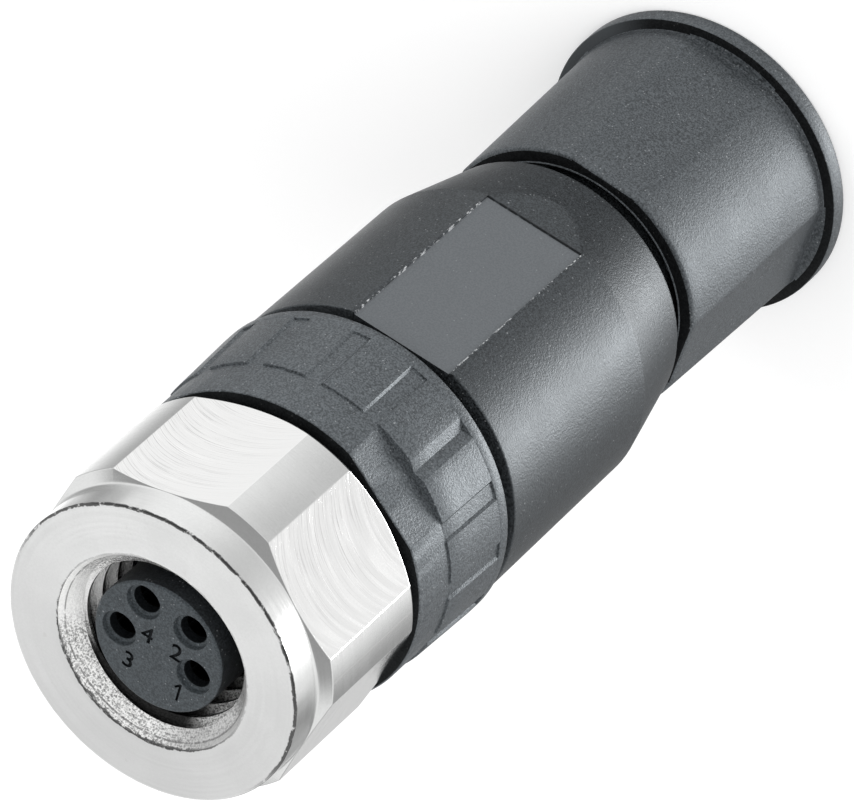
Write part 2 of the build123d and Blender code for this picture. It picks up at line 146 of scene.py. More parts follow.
def skin(name, rows, angles, closed=True, full_turn=True, uv=None, slots=None):
    """Mesh of a grid of (radius, depth) rows and angles; a profile that isn't closed ends on the axis."""
    count, width = rows.shape[:2]
    turn = np.radians(np.broadcast_to(angles, (count, width)))
    x = rows[..., 0] * np.cos(turn) * MM
    y = rows[..., 0] * np.sin(turn) * MM
    z = (LENGTH - rows[..., 1]) * MM
    verts = np.stack([x, y, z], -1).reshape(-1, 3).tolist()
    faces, marks = [], []
    spans = width if full_turn else width - 1
    for j in range(count if closed else count - 1):
        k = (j + 1) % count
        for i in range(spans):
            n = (i + 1) % width
            faces.append((j * width + i, k * width + i, k * width + n, j * width + n))
            marks.append((j, i))
    if not closed:
        for j, flip in ((0, False), (count - 1, True)):
            centre = len(verts)
            verts.append((0, 0, float(z[j].mean())))
            for i in range(width):
                n = (i + 1) % width
                a, b = j * width + i, j * width + n
                faces.append((centre, b, a) if flip else (centre, a, b))
                marks.append((j, i))
    mesh = bpy.data.meshes.new(name)
    mesh.from_pydata(verts, [], faces)
    if uv is not None:
        layer = mesh.uv_layers.new(name="surface")
        flat = uv.reshape(-1, 2)
        index = np.empty(len(mesh.loops), dtype=np.int32)
        mesh.loops.foreach_get("vertex_index", index)
        layer.data.foreach_set("uv", flat[np.minimum(index, len(flat) - 1)].astype(np.float32).ravel())
    if slots is not None:
        mesh.polygons.foreach_set("material_index", [int(slots(j, i)) for j, i in marks])
    mesh.validate()
    outward(mesh)
    return mesh


def outward(mesh, merge=0.0):
    """Turns all faces outward, with vertices closer than merge made one."""
    shape = bmesh.new()
    shape.from_mesh(mesh)
    if merge:
        bmesh.ops.remove_doubles(shape, verts=shape.verts, dist=merge)
    bmesh.ops.recalc_face_normals(shape, faces=shape.faces)
    shape.to_mesh(mesh)
    shape.free()
    mesh.update()


def piece(name, mesh, body, slot, *materials, crisp=40.0):
    """Object of a finished mesh, smooth with flats kept flat and edges over an angle crisp, on a body."""
    thing = placed(name, mesh)
    if not mesh.materials:
        for material in materials:
            mesh.materials.append(material)
    mesh.polygons.foreach_set("use_smooth", [True] * len(mesh.polygons))
    mesh.set_sharp_from_angle(angle=math.radians(crisp))
    weigh = thing.modifiers.new("flats", "WEIGHTED_NORMAL")
    weigh.keep_sharp = True
    weigh.weight = 100
    bake(thing)
    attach(thing, body)
    return thing


def bake(thing):
    """Replaces the mesh of an object by its evaluated one and drops the modifiers."""
    graph = bpy.context.evaluated_depsgraph_get()
    graph.update()
    made = bpy.data.meshes.new_from_object(thing.evaluated_get(graph), preserve_all_data_layers=True,
                                           depsgraph=graph)
    thing.modifiers.clear()
    thing.data = made
    return made


# Node helpers
class Nodes:
    """Short calls to add and join nodes of one tree."""

    def __init__(self, tree):
        self.tree = tree

    def add(self, kind, sockets=None, **settings):
        node = self.tree.nodes.new(kind)
        for key, value in settings.items():
            setattr(node, key, value)
        for key, value in (sockets or {}).items():
            self.feed(node.inputs[key], value)
        return node

    def feed(self, socket, value):
        """Joins a socket to another one, or gives it a constant."""
        if isinstance(value, bpy.types.NodeSocket):
            self.tree.links.new(value, socket)
        else:
            socket.default_value = value

    def use(self, tree, **sockets):
        """Outputs of a node group; a low line stands for the blank in a socket's name."""
        node = self.add("ShaderNodeGroup", node_tree=tree)
        for key, value in sockets.items():
            self.feed(node.inputs[key.replace("_", " ")], value)
        return node.outputs

    def math(self, operation, a, b=0.0, c=0.0):
        node = self.add("ShaderNodeMath", operation=operation)
        for i, value in enumerate((a, b, c)):
            self.feed(node.inputs[i], value)
        return node.outputs[0]

    def times(self, first, *others):
        """Product of two or more values."""
        for other in others:
            first = self.math("MULTIPLY", first, other)
        return first

    def plus(self, a, b):
        return self.math("ADD", a, b)

    def minus(self, a, b):
        return self.math("SUBTRACT", a, b)

    def towards(self, turn, degrees):
        """1 where a turn round the axis is at an angle, down to -1 on the far side."""
        return self.math("COSINE", self.minus(turn, math.radians(degrees)))

    def between(self, value, low, high, to_low=0.0, to_high=1.0, smooth=True):
        node = self.add("ShaderNodeMapRange", {"Value": value, "From Min": low, "From Max": high,
                                               "To Min": to_low, "To Max": to_high})
        node.interpolation_type = "SMOOTHSTEP" if smooth else "LINEAR"
        return node.outputs["Result"]

    def mix(self, factor, a, b):
        node = self.add("ShaderNodeMix", data_type="RGBA")
        for socket, value in ((node.inputs[0], factor), (node.inputs[6], a), (node.inputs[7], b)):
            self.feed(socket, value)
        return node.outputs[2]

    def noise(self, vector, scale, detail=2.0, rough=0.5):
        node = self.add("ShaderNodeTexNoise", {"Vector": vector, "Scale": scale, "Detail": detail,
                                               "Roughness": rough})
        return node.outputs["Fac"]


def group(name, ins, outs, build, kind="ShaderNodeTree"):
    """Node group; ins are (name, kind, default), outs (name, kind), build gets nodes, inputs, outputs."""
    tree = bpy.data.node_groups.new(name, kind)
    for label, socket_kind, default in ins:
        socket = tree.interface.new_socket(name=label, in_out="INPUT", socket_type=socket_kind)
        if default is not None:
            socket.default_value = default
    for label, socket_kind in outs:
        tree.interface.new_socket(name=label, in_out="OUTPUT", socket_type=socket_kind)
    given = tree.nodes.new("NodeGroupInput").outputs
    wanted = tree.nodes.new("NodeGroupOutput").inputs
    build(Nodes(tree), given, wanted)
    return tree


NUMBER, VECTOR, COUNT = "NodeSocketFloat", "NodeSocketVector", "NodeSocketInt"
GEOMETRY, FINISH = "NodeSocketGeometry", "NodeSocketMaterial"


def tinted(base, by=1.0):
    """Socket colour of a base colour times a factor."""
    return (*[c * by for c in base], 1)


def grey(value):
    return (value, value, value, 1)


def build_polar(n, given, wanted):
    """Radius and depth in millimetres and turn round the axis, of a place."""
    split = n.add("ShaderNodeSeparateXYZ", {"Vector": given["Place"]})
    x, y, z = (split.outputs[i] for i in range(3))
    radius = n.math("SQRT", n.plus(n.times(x, x), n.times(y, y)))
    n.feed(wanted["Radius"], n.times(radius, 1 / MM))
    n.feed(wanted["Depth"], n.times(n.minus(TOP, z), 1 / MM))
    n.feed(wanted["Turn"], n.math("ARCTAN2", y, x))


polar = group("place_on_axis", [("Place", VECTOR, None)],
              [("Radius", NUMBER), ("Depth", NUMBER), ("Turn", NUMBER)], build_polar)


def build_speckle(n, given, wanted):
    """Round dots in the cells that a random number picks."""
    cells = n.add("ShaderNodeTexVoronoi", {"Vector": given["Place"], "Scale": given["Density"],
                                           "Randomness": 1.0})
    pick = n.add("ShaderNodeSeparateColor", {"Color": cells.outputs["Color"]})
    chosen = n.math("GREATER_THAN", pick.outputs[0], given["Rarity"])
    size = n.between(cells.outputs["Distance"], given["Size"], 0.0)
    n.feed(wanted["Mask"], n.times(chosen, size))


speckle = group("bright_speckle",
                [("Place", VECTOR, None), ("Density", NUMBER, 9000.0), ("Rarity", NUMBER, 0.9),
                 ("Size", NUMBER, 0.3)],
                [("Mask", NUMBER)], build_speckle)


def build_grain(n, given, wanted):
    """Grain of a moulded skin, as a height, a fine and a broad pattern."""
    fine = n.noise(given["Place"], given["Scale"], 2.0, 0.6)
    coarse = n.noise(given["Place"], n.times(given["Scale"], 0.45), 1.0, 0.5)
    broad = n.noise(given["Place"], n.times(given["Scale"], 0.05), 2.0, 0.5)
    n.feed(wanted["Height"], n.plus(n.times(fine, 0.7), n.times(coarse, 0.3)))
    n.feed(wanted["Fine"], fine)
    n.feed(wanted["Broad"], broad)


grain = group("moulded_grain", [("Place", VECTOR, None), ("Scale", NUMBER, 9000.0)],
              [("Height", NUMBER), ("Fine", NUMBER), ("Broad", NUMBER)], build_grain)


def build_turned(n, given, wanted):
    """Lines that run round the axis, and soft clouds."""
    spot = n.use(polar, Place=given["Place"])
    path = n.add("ShaderNodeCombineXYZ", {
        "X": n.times(spot["Radius"], given["Density"]),
        "Y": n.times(spot["Depth"], given["Density"]),
        "Z": n.times(spot["Turn"], given["Drift"])})
    lines = n.noise(path.outputs[0], 1.0, 3.0, 0.6)
    cloud = n.noise(given["Place"], 420.0, 2.0, 0.5)
    n.feed(wanted["Lines"], lines)
    n.feed(wanted["Cloud"], cloud)


turned_lines = group("turning_lines",
                     [("Place", VECTOR, None), ("Density", NUMBER, 14.0), ("Drift", NUMBER, 0.8)],
                     [("Lines", NUMBER), ("Cloud", NUMBER)], build_turned)


def build_milled(n, given, wanted):
    """Arcs of a cutter that moves along a flat, fine and broad."""
    split = n.add("ShaderNodeSeparateXYZ", {"Vector": given["Surface"]})
    across, along = split.outputs[0], split.outputs[1]
    cutter = given["Cutter Radius"]
    rise = n.minus(n.times(cutter, cutter), n.times(across, across))
    sag = n.minus(cutter, n.math("SQRT", n.math("MAXIMUM", rise, 0.01)))
    stroke = n.minus(along, sag)
    path = n.add("ShaderNodeCombineXYZ", {"X": n.times(stroke, given["Density"]),
                                          "Y": n.times(across, 0.30),
                                          "Z": n.times(along, 0.15)})
    n.feed(wanted["Arcs"], n.noise(path.outputs[0], 1.0, 3.0, 0.7))
    coarse = n.add("ShaderNodeCombineXYZ", {"X": n.times(stroke, 3.4),
                                            "Y": n.times(across, 0.4)})
    n.feed(wanted["Sweeps"], n.noise(coarse.outputs[0], 1.0, 1.0, 0.5))


milled_arcs = group("milling_arcs",
                    [("Surface", VECTOR, None), ("Cutter Radius", NUMBER, 3.0), ("Density", NUMBER, 16.0)],
                    [("Arcs", NUMBER), ("Sweeps", NUMBER)], build_milled)


def material(name, base, roughness, metallic=0.0):
    """Principled material with its constant values on the shader's own sockets."""
    made = bpy.data.materials.new(name)
    made.use_nodes = True
    made.diffuse_color = tinted(base)
    n = Nodes(made.node_tree)
    shader = made.node_tree.nodes["Principled BSDF"]
    shader.inputs["Base Color"].default_value = tinted(base)
    shader.inputs["Roughness"].default_value = roughness
    shader.inputs["Metallic"].default_value = metallic
    place = n.add("ShaderNodeTexCoord").outputs["Object"]
    return made, n, shader, place


def bump(n, shader, height, strength, distance):
    """Relief of a material from a height pattern."""
    node = n.add("ShaderNodeBump", {"Height": height, "Strength": strength, "Distance": distance})
    n.feed(shader.inputs["Normal"], node.outputs["Normal"])


def vary_gloss(n, shader, pattern, smoothest, roughest):
    """Roughness between two values, led by a pattern."""
    n.feed(shader.inputs["Roughness"], n.between(pattern, 0.3, 0.7, smoothest, roughest))


# Materials
def plastic(name, base, light, roughness, grit_height=0.00003, speck=0.9, gloss=0.8, tone=0.45,
            edges=False, flange=False):
    """Moulded plastic: fine grain and bright glass specks, a few of them large."""
    made, n, shader, place = material(name, base, roughness)
    shader.inputs["Specular IOR Level"].default_value = gloss
    shader.inputs["Specular Tint"].default_value = (0.86, 0.94, 1.0, 1.0)
    grit = n.use(grain, Place=place, Scale=13000.0)
    dots = n.use(speckle, Place=place, Density=8500.0, Rarity=speck, Size=0.34)
    flakes = n.use(speckle, Place=place, Density=3600.0, Rarity=1 - (1 - speck) * 0.30, Size=0.20)
    shade = n.mix(n.between(grit["Fine"], 0.36, 0.64), tinted(base, 1 - tone), tinted(base, 1 + tone))
    if flange:
        # painted light: the flange's top is made lighter on its open side
        spot = n.use(polar, Place=place)
        painted_lit_side = n.between(n.math("COSINE", n.minus(spot["Turn"], 0.05)), 0.50, 0.82)
        painted_lit_side = n.times(painted_lit_side, n.between(spot["Radius"], 5.9, 6.1))
        shade = n.mix(painted_lit_side, shade, (0.055, 0.060, 0.064, 1))
    bright = n.times(n.math("MAXIMUM", dots["Mask"], flakes["Mask"]), 0.8)
    marked = n.mix(bright, shade, tinted(light))
    # painted highlight and painted shade along the label panel's edges
    if edges:
        lines = n.use(label_painted_glint_and_shade, Place=place)
        marked = n.mix(lines["Glint"], marked, (0.55, 0.56, 0.57, 1))
        marked = n.mix(lines["Shade"], marked, grey(0.004))
    n.feed(shader.inputs["Base Color"], marked)
    vary_gloss(n, shader, grit["Broad"], roughness - 0.015, roughness + 0.015)
    bump(n, shader, grit["Height"], 1.0, grit_height)
    return made


def build_label_edges(n, given, wanted):
    """Painted glint along both sides of the label panel and painted shade at its closed end."""
    side, half_line, reach = (LABEL_HALF + 0.01) * MM, 0.00006, (LABEL_HALF + 0.02) * MM
    split = n.add("ShaderNodeSeparateXYZ", {"Vector": given["Place"]})
    across = n.math("ABSOLUTE", split.outputs[0])
    front = n.math("LESS_THAN", split.outputs[1], (0.19 - FACET) * MM)
    depth = n.use(polar, Place=given["Place"])["Depth"]
    inside = n.times(n.math("LESS_THAN", depth, LABEL_END + 0.01),
                     n.math("GREATER_THAN", depth, HOUSING_FRONT + 0.1))
    off = n.math("ABSOLUTE", n.minus(across, side))
    near = n.times(n.between(off, half_line, half_line / 3), front, inside)
    broken = n.between(n.noise(given["Place"], 3800.0, 3.0, 0.75), 0.52, 0.60)
    n.feed(wanted["Glint"], n.times(near, broken))
    end_off = n.math("ABSOLUTE", n.minus(depth, LABEL_END))
    end = n.times(n.between(end_off, 0.055, 0.03), front, n.math("LESS_THAN", across, reach))
    ragged = n.between(n.noise(given["Place"], 2600.0, 3.0, 0.7), 0.36, 0.48)
    n.feed(wanted["Shade"], n.times(end, ragged))


label_painted_glint_and_shade = group("label_painted_glint_and_shade", [("Place", VECTOR, None)], [("Glint", NUMBER), ("Shade", NUMBER)],
                    build_label_edges)

black_plastic = plastic("black_plastic", (0.057, 0.063, 0.068), (0.42, 0.43, 0.44), 0.44, gloss=1.0,
                        tone=0.62)
cap_plastic = plastic("cap_plastic", (0.046, 0.0508, 0.055), (0.40, 0.41, 0.42), 0.50, gloss=1.0, tone=0.66)
# painted shade: near-black copy of the clamp nut's plastic for places that little light reaches
cap_painted_shade = plastic("cap_painted_shade", (0.006, 0.0064, 0.0068), (0.08, 0.08, 0.08), 0.6,
                            grit_height=0.00002, speck=0.97, gloss=0.12, flange=True)
housing_plastic = plastic("housing_plastic", (0.019, 0.0215, 0.0235), (0.34, 0.35, 0.36), 0.44,
                          grit_height=0.000020, speck=0.90, edges=True, tone=0.8)
label_plastic = plastic("label_panel", (0.103, 0.110, 0.117), (0.30, 0.31, 0.32), 0.46, speck=0.975,
                        grit_height=0.000006, edges=True, tone=0.12)
insert_plastic = plastic("insert_plastic", (0.041, 0.048, 0.053), (0.34, 0.35, 0.36), 0.5, speck=0.88,
                         grit_height=0.000014, gloss=0.5, tone=0.38)
# painted shade: darker copy of the insert's plastic for its side, down in the mouth
insert_side_painted_shade = plastic("insert_side_painted_shade", (0.013, 0.0148, 0.0165), (0.30, 0.31, 0.32), 0.5, speck=0.85,
                      grit_height=0.000014, gloss=0.4, tone=0.6)
# painted shade: near-black finish for the sunk digits and the holes' deep walls
insert_recess_painted_shade = plastic("digit_and_hole_painted_shade", (0.006, 0.007, 0.008), (0.03, 0.03, 0.03), 0.6, speck=0.98,
                           grit_height=0.000008, gloss=0.2)
inner_plastic = plastic("inner_plastic", (0.02, 0.02, 0.021), (0.12, 0.12, 0.12), 0.5, grit_height=0.00002,
                        speck=0.95)
# painted shade: near-black finish for faces in the dark gaps beside the grip ring
ring_gap_painted_shade = plastic("shaded_gap", (0.007, 0.0076, 0.008), (0.08, 0.08, 0.08), 0.6, gloss=0.15, speck=0.96)
rubber = plastic("black_rubber", (0.012, 0.012, 0.013), (0.03, 0.03, 0.03), 0.62, grit_height=0.00002,
                 speck=0.98, gloss=0.4)


def nickel(name, base, roughness, density, drift, depth, spread, painted_shade_below=0.0):
    """Nickel plate over turned brass: lines round the axis, a soft cloudy gloss, painted shade darker below
    by painted_shade_below.
    """
    made, n, shader, place = material(name, base, roughness, 1.0)
    marks = n.use(turned_lines, Place=place, Density=density, Drift=drift)
    grit = n.use(grain, Place=place, Scale=12000.0)
    spot = n.use(polar, Place=place)
    # painted shade: a ragged dark line along the burr round the neck's front edge and round the mouth
    wander = n.times(n.minus(n.noise(place, 1600.0, 4.0, 0.75), 0.5), 0.22)
    radius = n.plus(spot["Radius"], wander)
    side = n.towards(spot["Turn"], -107.0)
    rim = n.times(n.between(radius, NECK - 0.13, NECK - 0.09),
                  n.between(n.plus(spot["Depth"], wander), 0.10, 0.05), n.between(side, -0.35, 0.15))
    mouth = n.times(n.between(radius, MOUTH + 0.07, MOUTH + 0.03), n.between(spot["Depth"], 0.05, 0.01),
                    n.between(side, 0.3, -0.6, 0.35, 1.0))
    ragged = n.between(n.noise(place, 2300.0, 3.0, 0.7), 0.34, 0.46)
    burr = n.times(n.math("MAXIMUM", rim, mouth), ragged, 0.9)
    blotch = n.plus(n.times(marks["Cloud"], 0.6), n.times(grit["Fine"], 0.4))
    tone = n.mix(n.between(blotch, 0.3, 0.7), tinted(base, 0.95), tinted(base, 1.045))
    spots = n.between(n.noise(place, 1500.0, 4.0, 0.7), 0.66, 0.74)
    tone = n.mix(n.times(spots, 0.25), tone, (0.50, 0.48, 0.45, 1))
    # painted shade: darker on the side that faces a turn of 97 degrees
    below = n.towards(spot["Turn"], 97.0)
    tone = n.mix(n.between(below, -1.0, 1.0, 0.0, painted_shade_below, smooth=False), tone, grey(0.55))
    n.feed(shader.inputs["Base Color"], n.mix(burr, tone, grey(0.05)))
    vary_gloss(n, shader, marks["Lines"], roughness - spread, roughness + spread)
    bump(n, shader, n.plus(n.times(marks["Lines"], 0.7), n.times(grit["Fine"], 0.3)), 0.5, depth)
    return made


nickel_face = nickel("nickel_face", (0.885, 0.89, 0.885), 0.36, 9.0, 0.5, 0.000005, 0.04, painted_shade_below=0.5)
nickel_turned = nickel("nickel_turned", (0.755, 0.76, 0.755), 0.20, 16.0, 1.2, 0.000006, 0.04)


def bore_nickel(name, root, metallic):
    """Coarse plated surface of the mouth, which scatters the light; a thread's has painted shade in its root
    and on one side.
    """
    made, n, shader, place = material(name, (0.9, 0.9, 0.89), 0.34, metallic)
    shader.inputs["Specular IOR Level"].default_value = 1.0
    grit = n.use(grain, Place=place, Scale=12500.0)
    marks = n.use(turned_lines, Place=place, Density=16.0, Drift=9.0)
    spot = n.use(polar, Place=place)
    depth = spot["Depth"]
    flecks = n.plus(n.times(grit["Fine"], 0.65), n.times(marks["Lines"], 0.35))
    lower = n.towards(spot["Turn"], 80.0)
    bevel = n.times(n.between(depth, BEVEL_DEPTH, BEVEL_DEPTH - 0.06), n.between(lower, 0.75, 0.20))
    # the lower part of the bevel is smooth, and one side of the mouth is evenly bright as painted light
    bevel_and_painted_light = n.math("MAXIMUM", n.between(n.math("COSINE", spot["Turn"]), 0.88, 0.995), bevel)
    flecked = n.mix(n.between(flecks, 0.36, 0.60), grey(0.20), (1.0, 1.0, 0.99, 1))
    tone = n.mix(n.times(bevel_and_painted_light, 0.85), flecked, (0.93, 0.93, 0.92, 1))
    if root:
        # painted shade: the thread's root and one side are near black
        tone = n.mix(n.between(spot["Radius"], 3.80, 3.98), tone, grey(0.02))
        tone = n.mix(n.times(n.between(lower, 0.62, 0.82), 0.96), tone, grey(0.02))
    else:
        # painted shade: one side of the mouth is darker
        shaded = n.towards(spot["Turn"], 158.0)
        tone = n.mix(n.between(shaded, 0.50, 0.95, 0.0, 0.6), tone, grey(0.25))
        # painted shade: a dark ragged line along the burr at the mouth's edge, and a broken dark line where
        # the bevel ends
        wander = n.times(n.minus(n.noise(place, 2400.0, 4.0, 0.75), 0.5), 0.40)
        burr = n.times(n.between(n.plus(depth, wander), 0.09, 0.04), n.between(lower, 0.35, 0.75))
        tone = n.mix(n.times(burr, 0.9), tone, grey(0.04))
        line = n.between(n.math("ABSOLUTE", n.minus(depth, BEVEL_DEPTH)), 0.035, 0.012)
        broken = n.between(n.noise(place, 2600.0, 3.0, 0.7), 0.40, 0.52)
        tone = n.mix(n.times(line, broken, 0.75), tone, grey(0.12))
    n.feed(shader.inputs["Base Color"], tone)
    bump(n, shader, n.plus(grit["Height"], marks["Lines"]), 0.8, 0.000020)
    return made


nickel_bore = bore_nickel("nickel_bore", False, 0.2)
nickel_thread = bore_nickel("nickel_thread", True, 0.9)


def metal(name, base, roughness, density=26.0, painted_hole_shade_to=None):
    """Turned metal; painted_hole_shade_to is the depth in millimetres down to which it's darkened as painted
    shade inside the holes.
    """
    made, n, shader, place = material(name, base, roughness, 1.0)
    marks = n.use(turned_lines, Place=place, Density=density, Drift=2.0)
    vary_gloss(n, shader, marks["Lines"], roughness - 0.06, roughness + 0.08)
    tone = n.mix(marks["Cloud"], tinted(base, 0.9), tinted(base))
    if painted_hole_shade_to:
        depth = n.use(polar, Place=place)["Depth"]
        tone = n.mix(n.between(depth, painted_hole_shade_to, painted_hole_shade_to - 0.8), tone, tinted(base, 0.04))
    n.feed(shader.inputs["Base Color"], tone)
    bump(n, shader, marks["Lines"], 0.4, 0.000006)
    return made


def milled(name, base, roughness):
    """Bright flats with the arcs of a milling cutter, which bit deeper towards one side."""
    made, n, shader, place = material(name, base, roughness, 1.0)
    surface = n.add("ShaderNodeUVMap", uv_map="surface").outputs["UV"]
    cut = n.use(milled_arcs, Surface=surface, Cutter_Radius=3.7, Density=23.0)
    grit = n.use(grain, Place=place, Scale=9000.0)
    across = n.add("ShaderNodeSeparateXYZ", {"Vector": surface}).outputs[0]
    bite = n.between(across, -2.6, 0.8, 0.12, 1.0)
    dark = n.times(n.between(cut["Arcs"], 0.55, 0.66), bite)
    light = n.times(n.between(cut["Arcs"], 0.44, 0.34), bite)
    tone = n.mix(n.times(dark, 0.9), tinted(base), tinted(base, 0.68))
    tone = n.mix(n.times(light, 0.5), tone, (0.97, 0.97, 0.96, 1))
    n.feed(shader.inputs["Base Color"], tone)
    vary_gloss(n, shader, cut["Sweeps"], roughness - 0.02, roughness + 0.03)
    strokes = n.times(cut["Arcs"], bite, 0.8)
    bump(n, shader, n.plus(strokes, n.times(grit["Fine"], 0.35)), 0.8, 0.000003)
    return made


nickel_milled = milled("nickel_milled", (0.80, 0.80, 0.795), 0.09)
# painted shade: behind the mouth little light comes back out, so the nickel there is near black
nickel_painted_shade = metal("nickel_painted_shade", (0.05, 0.05, 0.05), 0.45)
gold = metal("gold_plate", (0.83, 0.62, 0.30), 0.24, painted_hole_shade_to=4.5)
steel = metal("plated_steel", (0.62, 0.62, 0.63), 0.3)
spring = metal("spring_steel", (0.40, 0.40, 0.41), 0.34)

# Coupling nut
flat_half = math.degrees(math.acos(ACROSS / 2 / CORNER))
stops = [HEX_TURN - 180]
for k in range(-3, 3):
    middle = HEX_TURN + 30 + 60 * k
    for edge in (-flat_half, flat_half):
        stops += [middle + edge - 0.3, middle + edge, middle + edge + 0.3]
stops.append(HEX_TURN + 180)
nut_angles = around(stops, 1.5)[:-1]
away = (nut_angles - HEX_TURN) % 60 - 30
hull = np.minimum(ACROSS / 2 / np.cos(np.radians(away)), CORNER)
front_slope = HEX_FRONT + (hull - NECK) / (CORNER - NECK) * FRONT_SLOPE
back_slope = CORNER_BACK + (CORNER - hull) / (CORNER - NECK) * BACK_SLOPE
# the mouth narrows to a lip that follows the first turn of the thread
lip = np.interp(nut_angles, [-180, -120, 0, 105, 165, 180], [0.8, 1.2, 0.90, 0.60, 0.45, 0.8])
nut_corners = [(MOUTH, 0), (MOUTH + 0.14, 0), (NECK - 0.13, 0), (NECK - 0.04, 0), (NECK, 0.04),
               (NECK, HEX_FRONT), (hull, front_slope), (hull, back_slope), (NECK, NUT_BACK),
               (NUT_BORE, NUT_BACK), (NUT_BORE, THREAD_END), (THREAD_ROOT, THREAD_END),
               (THREAD_ROOT, lip + 0.36), (THREAD_CREST + 0.03, lip + 0.03), (THREAD_CREST, lip),
               (BEVEL, BEVEL_DEPTH)]
nut_rounding = [0.012, 0, 0, 0.015, 0.02, 0.12, 0.04, 0.05, 0.05, 0, 0, 0, 0, 0, 0, 0.02]
nut_rows = soften(profile(nut_corners, len(nut_angles)), nut_rounding)
chance = np.random.default_rng(7)
rim = np.hypot(nut_rows[..., 0] - NECK, nut_rows[..., 1]) < 0.07
burr = rim[..., None] * np.abs(chance.normal(0, 0.0014, nut_rows.shape))
nut_rows += burr * (-1, 1)
nut_uv = np.stack([nut_rows[..., 0] * np.sin(np.radians(away)), nut_rows[..., 1]], -1)


def nut_slot(j, i):
    """0 turned, 1 milled, 2 nose face, 3 mouth, 4 behind the mouth."""
    k, m = (j + 1) % len(nut_rows), (i + 1) % len(nut_angles)
    radius, depth = nut_rows[[j, j, k, k], [i, m, i, m]].mean(axis=0)
    if radius < MOUTH - 0.01:
        return 3 if depth < lip[i] + 0.01 else 4
    if depth < 0.003:
        return 2
    flat = abs(away[i] + away[m]) / 2 < flat_half and abs(away[i]) < 29
    return 1 if flat and front_slope[i] + 0.03 < depth < back_slope[i] - 0.03 else 0


nut_mesh = skin("coupling_nut_body", nut_rows, nut_angles, uv=nut_uv, slots=nut_slot)
nut_piece = piece("coupling_nut_body", nut_mesh, "nut", "nickel_plate",
                  nickel_turned, nickel_milled, nickel_face, nickel_bore, nickel_painted_shade)
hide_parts("coupling_nut")


# Grip ring
def strip_radius(depth):
    """Radius of the strips between the panels, opening out towards the housing."""
    return BAND + CONE * float(np.clip((depth - STEP) / (STRIP_END - STEP), 0, 1))


def make_sector(half_turn, half_width, key):
    """One panel with half a strip on each side; the key panel has a facet before it and a V down it."""
    top = half_width - PANEL
    side = [top - 0.03, top, top + 0.02, half_width - 0.02, half_width, half_width + 0.03]
    middle = [0.012, VEE_HALF - 0.015, VEE_HALF + 0.015, 0.8, 1.2, 1.6, 2.0, 2.157] if key else [0.25, 0.5]
    half = np.array(middle + side + [math.radians(half_turn) * BAND])
    across = np.concatenate([-half[::-1], [0.0], half])
    angles = np.degrees(across / BAND)

    def panel_at(depth):
        rise = np.clip(half_width - np.abs(across), 0, PANEL)
        if key:
            rise = np.minimum(rise, PANEL - VEE_DEPTH + np.abs(across) * VEE_DEPTH / VEE_HALF)
        return strip_radius(depth) + rise

    band = np.full(len(across), BAND)
    if key:
        band = np.minimum(band, FACET / np.cos(across / BAND))
    rim = BAND + CONE + PANEL
    rows = [(RING_BORE, RING_FRONT), (band - 0.06, RING_FRONT), (band - 0.02, RING_FRONT + 0.015),
            (band, RING_FRONT + 0.06), (band, STEP - 0.03), (band + 0.004, STEP - 0.003),
            (panel_at(STEP) - 0.015, STEP + 0.003)]
    rows += [(panel_at(depth), depth) for depth in (STEP + 0.03, 11.0, 12.1, STRIP_END - 0.03)]
    rows += [(np.minimum(panel_at(STRIP_END) + 0.004, rim), STRIP_END - 0.003),
             (rim - 0.015, STRIP_END + 0.003), (rim, STRIP_END + 0.03), (rim, RING_BACK - 0.06),
             (rim - 0.02, RING_BACK - 0.015), (rim - 0.06, RING_BACK), (SLEEVE, RING_BACK),
             (SLEEVE, SLEEVE_END), (SLEEVE_BORE, SLEEVE_END), (SLEEVE_BORE, SLEEVE_FLOOR),
             (RING_BORE, SLEEVE_FLOOR)]
    return skin("grip_sector", profile(rows, len(across)), angles, full_turn=False)


def build_panels(n, given, wanted):
    """Copies a sector round the axis: First Turn and Pitch in degrees."""
    points = n.add("GeometryNodePoints", {"Count": given["Panels"]})
    index = n.add("GeometryNodeInputIndex").outputs[0]
    degrees = n.math("MULTIPLY_ADD", index, given["Pitch"], given["First Turn"])
    turn = n.add("ShaderNodeCombineXYZ", {"Z": n.math("RADIANS", degrees)})
    copies = n.add("GeometryNodeInstanceOnPoints", {"Points": points.outputs[0], "Instance": given["Sector"],
                                                    "Rotation": turn.outputs[0]})
    real = n.add("GeometryNodeRealizeInstances", {"Geometry": copies.outputs[0]})
    weld = n.add("GeometryNodeMergeByDistance", {"Geometry": real.outputs[0], "Distance": given["Weld"]})
    paint = n.add("GeometryNodeSetMaterial", {"Geometry": weld.outputs[0], "Material": given["Finish"]})
    n.feed(wanted["Ring"], paint.outputs[0])


round_tree = group("panels_round_the_axis",
                   [("Sector", GEOMETRY, None), ("Panels", COUNT, PLAIN_PANELS), ("Pitch", NUMBER, PITCH),
                    ("First Turn", NUMBER, 0.0), ("Weld", NUMBER, 0.000002), ("Finish", FINISH, None)],
                   [("Ring", GEOMETRY)], build_panels, "GeometryNodeTree")


def run_tree(mesh, tree, values):
    """Evaluates a tree on a mesh and gives the plain mesh that it makes."""
    thing = placed("under_work", mesh)
    work = thing.modifiers.new("tree", "NODES")
    work.node_group = tree
    for item in tree.interface.items_tree:
        if item.item_type == "SOCKET" and item.in_out == "INPUT" and item.name in values:
            work[item.identifier] = values[item.name]
    made = bake(thing)
    bpy.data.objects.remove(thing)
    return made


def joined(name, *meshes):
    """One mesh of several, their touching seams merged."""
    shape = bmesh.new()
    for mesh in meshes:
        shape.from_mesh(mesh)
    made = bpy.data.meshes.new(name)
    shape.to_mesh(made)
    shape.free()
    outward(made, merge=0.000002)
    return made


